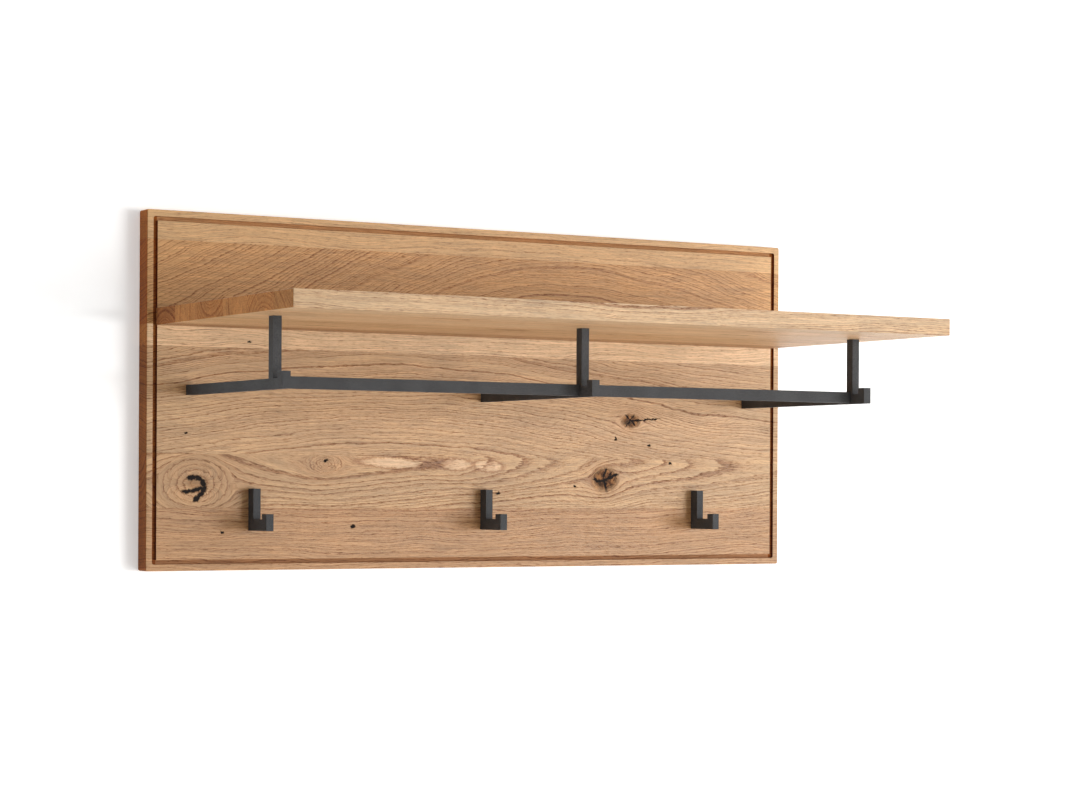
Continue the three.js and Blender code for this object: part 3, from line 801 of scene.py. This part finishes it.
def rail(name, material):
    """One flat bar of the clothes rail, pinned between an outer bracket and the middle one."""
    low, high = box_mm(f"rail_{name}")
    bm = bmesh.new()
    block(low, high)(bm)
    soften(bm, BAR_EDGE, 3, lengthwise)
    piece = to_object(f"clothes_rail_{name}", bm)
    cuts = []
    for pin_name in (name, "middle"):
        pin_low, pin_high = box_mm(f"rail_pin_{pin_name}")
        pin = centre_of(f"rail_pin_{pin_name}")
        start = max(pin_low.x - PIN_ROOM, low.x - OUTSIDE)
        stop = min(pin_high.x + PIN_ROOM, high.x + OUTSIDE)
        cuts.append(hole(PIN_HOLE, (start, pin.y, pin.z), (stop, pin.y, pin.z)))
    cut(piece, cuts)
    dress(piece, material, "black_powder_coat", f"rail_{name}")


def hook(name, material):
    """A coat hook bent and welded from thick bar: back plate, foot and upturned lip."""
    low, high = box_mm(f"hook_{name}")
    seat = low.z + HOOK_FOOT
    lip_top = seat + HOOK_LIP_RISE
    lip_back = low.y + HOOK_LIP
    plate_front = high.y - HOOK_BACK
    outline = [
        (high.y, low.z), (low.y, low.z), (low.y, lip_top), (lip_back, lip_top),
        (lip_back, seat), (plate_front, seat), (plate_front, high.z), (high.y, high.z),
    ]
    bm = bmesh.new()
    prism(bm, outline, low.x, high.x)
    soften(bm, HOOK_EDGE, 3)
    piece = to_object(f"coat_hook_{name}", bm)
    radius = SCREWS["hook_screw"][0] + CLEARANCE
    cuts = []
    for place in ("lower", "upper"):
        spot = centre_of(f"hook_screw_{name}_{place}")
        screw_low, _ = box_mm(f"hook_screw_{name}_{place}")
        cuts.append(hole(radius, (spot.x, high.y + OUTSIDE, spot.z), (spot.x, screw_low.y - DEEPER, spot.z)))
    cut(piece, cuts)
    dress(piece, material, "black_powder_coat", f"hook_{name}")


def hanging_plate(name, material):
    """A pressed keyhole plate: the wall's screw goes in low, and slides up the slot to hang."""
    low, high = box_mm(f"hanger_plate_{name}")
    box = (low.x, high.x, low.z, high.z)
    edge, corner = PLATE_EDGE, PLATE_CORNER
    bm = bmesh.new()
    skin(bm, [ring(bm, box, edge, corner - edge, high.y), ring(bm, box, 0, corner, high.y - edge),
              ring(bm, box, 0, corner, low.y + edge), ring(bm, box, edge, corner - edge, low.y)])
    piece = to_object(f"keyhole_plate_{name}", bm)
    x = (low.x + high.x) / 2
    behind, before = 3, -OUTSIDE
    cuts = [
        hole(KEYHOLE_HEAD, (x, behind, -KEYHOLE_DROP), (x, before, -KEYHOLE_DROP)),
        hole(KEYHOLE_SLOT, (x, behind, 0), (x, before, 0)),
        block((x - KEYHOLE_SLOT, before, -KEYHOLE_DROP), (x + KEYHOLE_SLOT, behind, 0)),
    ]
    shank, head, _ = SCREWS["plate_screw"]
    shank += CLEARANCE
    head += CLEARANCE
    profile = [(head, -2.0), (head, 0.2), (shank, 1.8), (shank, 4.0)]
    for place in ("outer", "inner"):
        spot = centre_of(f"plate_screw_{name}_{place}")
        cuts.append(lambda bm, s=spot: turned(bm, profile, (s.x, 0, s.z), (0, -1, 0)))
    cut(piece, cuts)
    dress(piece, material, "zinc_steel", f"hanger_plate_{name}")


def screw_mesh(kind):
    """A countersunk screw with a rolled thread, its head's face at y = 0 and its tip towards the room."""
    shank, head, length = SCREWS[kind]
    core = 0.68 * shank
    pitch = 0.95 * shank
    plain = 0.28 * length
    tip = 2.2 * shank
    profile = [(0.02, 0.0), (head * 0.97, 0.0), (head, 0.25), (shank, head - shank + 0.25), (shank, plain)]
    along = plain
    while along < length - tip:
        profile += [(core, along + 0.25 * pitch), (core, along + 0.5 * pitch), (shank, along + 0.75 * pitch)]
        along += pitch
    profile += [(core, along + 0.4 * pitch), (0.05, length - 0.02), (0.02, length)]
    recess = 0.45 * head
    bm = bmesh.new()
    turned(bm, profile, (0, 0, 0), (0, -1, 0), sides=28)
    made = to_object(kind, bm)
    cut(made, [lambda b: star(b, recess, (0, 0, 0), recess)])
    mesh = made.data
    bpy.data.objects.remove(made)
    return mesh


def screws(material):
    """Every screw of the frame, head towards the wall."""
    meshes = {kind: screw_mesh(kind) for kind in SCREWS}
    for node in screw_nodes:
        kind = next(k for k in SCREWS if node.startswith(k))
        _, high = box_mm(node)
        spot = centre_of(node)
        piece = bpy.data.objects.new(f"driven_{node}", meshes[kind].copy())
        piece.data.transform(Matrix.Translation(Vector((spot.x, high.y, spot.z)) * MM))
        scene.collection.objects.link(piece)
        dress(piece, material, "zinc_steel", node)


# ---------------------------------------------------------------- the rack

panel_staves = [
    Stave(-440, 500, 80, 0.012, 8, 0, 3.2, "#B4895C", 0.8),
    Stave(-353, -286, 26, 0.035, 14, -150, 4.8, "#BF9A6E", 0.85),
    Stave(-277, -430, 60, 0.0, 36, -150, 3.8, "#BE996E", 0.9),
    Stave(-129, 700, 200, 0.004, 4, 0, 3.4, "#DCB98F", 0.7),
    Stave(-100, 160, 60, 0.13, -96, 80, 4.4, "#CE9B60", 0.9),
    Stave(18, -900, 90, 0.006, 4, 0, 3.4, "#D8AC76", 0.4),
]
panel_knots = [
    Knot(-461, -318, 42, 1.5, 9, 0.3, -353, -277),
    Knot(212, -308, 19, 1.3, 17, 0.92, -353, -277),
    Knot(258, -219, 13, 1.6, 10, 0.85, -277, -129),
    Knot(-260, -289, 16, 2.0, 1, 0.0, -353, -277),
]
# ellipses, in mm: place along and across, half length, half width, turn in degrees
pin_knots = [
    (-260, -285, 3.6, 2.0, 0), (-216, -379, 3.6, 3.0, 0), (-420, -387, 3.6, 1.8, -30),
    (-476, -248, 2.4, 1.5, 0), (-380, -118, 3.2, 1.4, 0), (231, -247, 2.4, 3.4, 20),
    (330, -283, 2.8, 2.0, 0), (158, -319, 2.6, 1.8, 0), (24, -330, 4.4, 2.4, 0), (291, -256, 2.8, 1.6, 10)]
panel_marks = (
    pin_knots
    + crack([(-473, -311), (-462, -309), (-452, -313), (-447, -322),
             (-450, -331), (-457, -337), (-464, -343)], 8)
    + crack([(-451, -324), (-468, -329), (-481, -329)], 6.5)
    + crack([(192, -309), (204, -312), (215, -308), (233, -301)], 5)
    + crack([(214, -293), (209, -304), (214, -323)], 4.4)
    + crack([(216, -307), (224, -297)], 2.6)
    + crack([(249, -211), (257, -218), (266, -226)], 2.4)
    + crack([(250, -227), (262, -212)], 2.2)
    + crack([(256, -219), (280, -217), (306, -215)], 2.6))
panel_patches = [(-150, -287, 60, 8, -2), (-48, -288, 30, 9, 0), (8, -290, 26, 9, -5)]
shelf_staves = [
    Stave(-466, -720, 250, 0.003, 4, 0, 3.2, "#C9A67C", 0.8),
    Stave(-410, -380, -30, 0.02, 14, 100, 6.0, "#CFA77A", 0.7),
    Stave(-330, -600, 50, 0.01, 6, 0, 4.4, "#D2AB7E", 0.6),
    Stave(-255, -215, 45, -0.03, -16, -200, 6.4, "#C99F70", 0.7),
    Stave(-170, 200, 30, 0.008, 6, 0, 4.2, "#CFA779", 0.6),
    Stave(-95, -60, -25, 0.05, 12, 0, 6.0, "#B98B5E", 0.9),
]
shelf_marks = crack([(236, -299), (262, -300), (286, -299)], 4) + crack([(-350, -150), (-312, -151)], 2.4)

panel_oak = oak("oiled wild oak, panel", (2, 1), panel_staves, panel_high.z, panel_knots, panel_marks,
                panel_patches, groove=(panel_high.x, panel_low.z, panel_high.z, GROOVE_DEPTH), face=FACE,
                end_shade=PANEL_END_SHADE)
shelf_oak = oak("oiled wild oak, shelf", (1, 2), shelf_staves, shelf_high.y, marks=shelf_marks,
                face=shelf_low.z, rough=0.46)
black = powder_coat()
zinc = zinc_plate()
dowel_beech = beech()

back_panel(panel_oak)
shelf(shelf_oak)
for place_name in PLACES:
    bracket(place_name, black)
    hook(place_name, black)
for end_name in ENDS:
    rail(end_name, black)
    hanging_plate(end_name, zinc)
screws(zinc)

# the studs, pins and dowels keep their CAD shape and get their finish
kept = (("post_stud", zinc, "zinc_steel"), ("rail_pin", zinc, "zinc_steel"),
        ("shelf_dowel", dowel_beech, "beech_dowel"))
for node_name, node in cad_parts.items():
    for start, finish, slot_name in kept:
        if node_name.startswith(start):
            node.data.materials.clear()
            node.data.materials.append(finish)


# ---------------------------------------------------------------- wall, floor, light and camera

# in metres
WALL_GAP = 0.0005
WALL_REACH = 6.0
WALL_OVERLAP = 0.001
FLOOR_REACH = 9.0
FLOOR_HEIGHT = -1.5
WALL_GLOW = 0.27
CORNERS = ((-1, -1), (1, -1), (1, 1), (-1, 1))


def stand(name, bm, material):
    """A sheet of the set, which is no part of the rack."""
    mesh = bpy.data.meshes.new(name)
    bm.to_mesh(mesh)
    bm.free()
    mesh.materials.append(material)
    made = bpy.data.objects.new(name, mesh)
    scene.collection.objects.link(made)


def one_sided(tree, shader):
    """The shader on the front and nothing on the back, so that the rack shows from behind the set."""
    back = add(tree, "NewGeometry", out="Backfacing")
    clear = add(tree, "BsdfTransparent")
    return add(tree, "MixShader", {0: back, 1: shader, 2: clear})


def wall():
    """A white wall with an opening behind the panel."""
    bm = bmesh.new()
    y = panel_high.y * MM + WALL_GAP
    left, right = panel_low.x * MM + WALL_OVERLAP, panel_high.x * MM - WALL_OVERLAP
    bottom, top = panel_low.z * MM + WALL_OVERLAP, panel_high.z * MM - WALL_OVERLAP
    outer = [bm.verts.new((x * WALL_REACH, y, z * WALL_REACH)) for x, z in CORNERS]
    inner = [bm.verts.new((x, y, z)) for x, z in (
        (left, bottom), (right, bottom), (right, top), (left, top))]
    for i in range(4):
        j = (i + 1) % 4
        bm.faces.new((outer[i], outer[j], inner[j], inner[i]))
    material, tree = new_material("white wall paint")
    mottle = add(tree, "TexNoise", {"Scale": 40.0, "Detail": 2.0})
    paint = ramp(tree, mottle, [(0.3, linear("#FAFAFA")), (0.7, linear("#FEFEFE"))])
    diffuse = add(tree, "BsdfDiffuse", {"Color": paint})
    glow = add(tree, "Emission", {"Color": paint, "Strength": WALL_GLOW})
    finish_material(tree, one_sided(tree, add(tree, "AddShader", {0: diffuse, 1: glow})))
    stand("wall", bm, material)


def floor():
    """A pale floor, well below the rack, that throws light up at it."""
    bm = bmesh.new()
    bm.faces.new([bm.verts.new((x * FLOOR_REACH, y * FLOOR_REACH, FLOOR_HEIGHT)) for x, y in CORNERS])
    material, tree = new_material("pale floor")
    mottle = add(tree, "TexNoise", {"Scale": 12.0, "Detail": 3.0})
    paint = ramp(tree, mottle, [(0.3, linear("#ECEAE6")), (0.7, linear("#F2F0ED"))])
    finish_material(tree, one_sided(tree, add(tree, "BsdfDiffuse", {"Color": paint})))
    stand("floor", bm, material)


def area_light(name, spot, target, width, height, watts):
    """A white panel of light at a spot, facing its target."""
    data = bpy.data.lights.new(name, "AREA")
    data.shape = "RECTANGLE"
    data.size = width
    data.size_y = height
    data.energy = watts
    made = bpy.data.objects.new(name, data)
    scene.collection.objects.link(made)
    made.location = spot
    made.visible_camera = False
    made.rotation_mode = "QUATERNION"
    made.rotation_quaternion = (Vector(target) - Vector(spot)).to_track_quat("-Z", "Y")


def daylight(left, right):
    """White light from all round, dimmer on the left."""
    world = bpy.data.worlds.new("white studio")
    scene.world = world
    world.use_nodes = True
    tree = world.node_tree
    direction = add(tree, "TexCoord")
    sideways = add(tree, "SeparateXYZ", {0: direction})
    strength = add(tree, "MapRange", {0: sideways, 1: -1.0, 2: 1.0, 3: left, 4: right})
    tree.links.new(strength, tree.nodes["Background"].inputs["Strength"])
    tree.nodes["Background"].inputs["Color"].default_value = linear("#FFFFFF")


def camera():
    """Stands left of the rack, a little below it, looking level at it."""
    data = bpy.data.cameras.new("camera")
    data.lens = 89.85
    data.sensor_width = 36.0
    # the lens is shifted up and the camera stays level, so that uprights stay upright
    data.shift_y = 0.0827
    made = bpy.data.objects.new("camera", data)
    scene.collection.objects.link(made)
    place = (-1.943, -3.454, -0.3224)
    turn_right = math.radians(30.62)
    roll = math.radians(0.3)
    made.matrix_world = (
        Matrix.Translation(place)
        @ Matrix.Rotation(-turn_right, 4, "Z")
        @ Matrix.Rotation(math.pi / 2, 4, "X")
        @ Matrix.Rotation(roll, 4, "Z")
    )
    scene.camera = made


wall()
floor()
daylight(left=0.10, right=0.90)
area_light("soft key, front right", (5.2, -6.2, -1.0), (0.1, 0, -0.2), width=4.0, height=3.2, watts=540)
area_light("fill from below", (1.0, -1.7, -1.4), (0.1, -0.2, -0.1), width=1.6, height=1.2, watts=17)
area_light("soft back", (-1.5, 3.5, 0.6), (0, 0, -0.2), width=2.5, height=2.5, watts=60)
camera()
scene.view_settings.view_transform = "Standard"
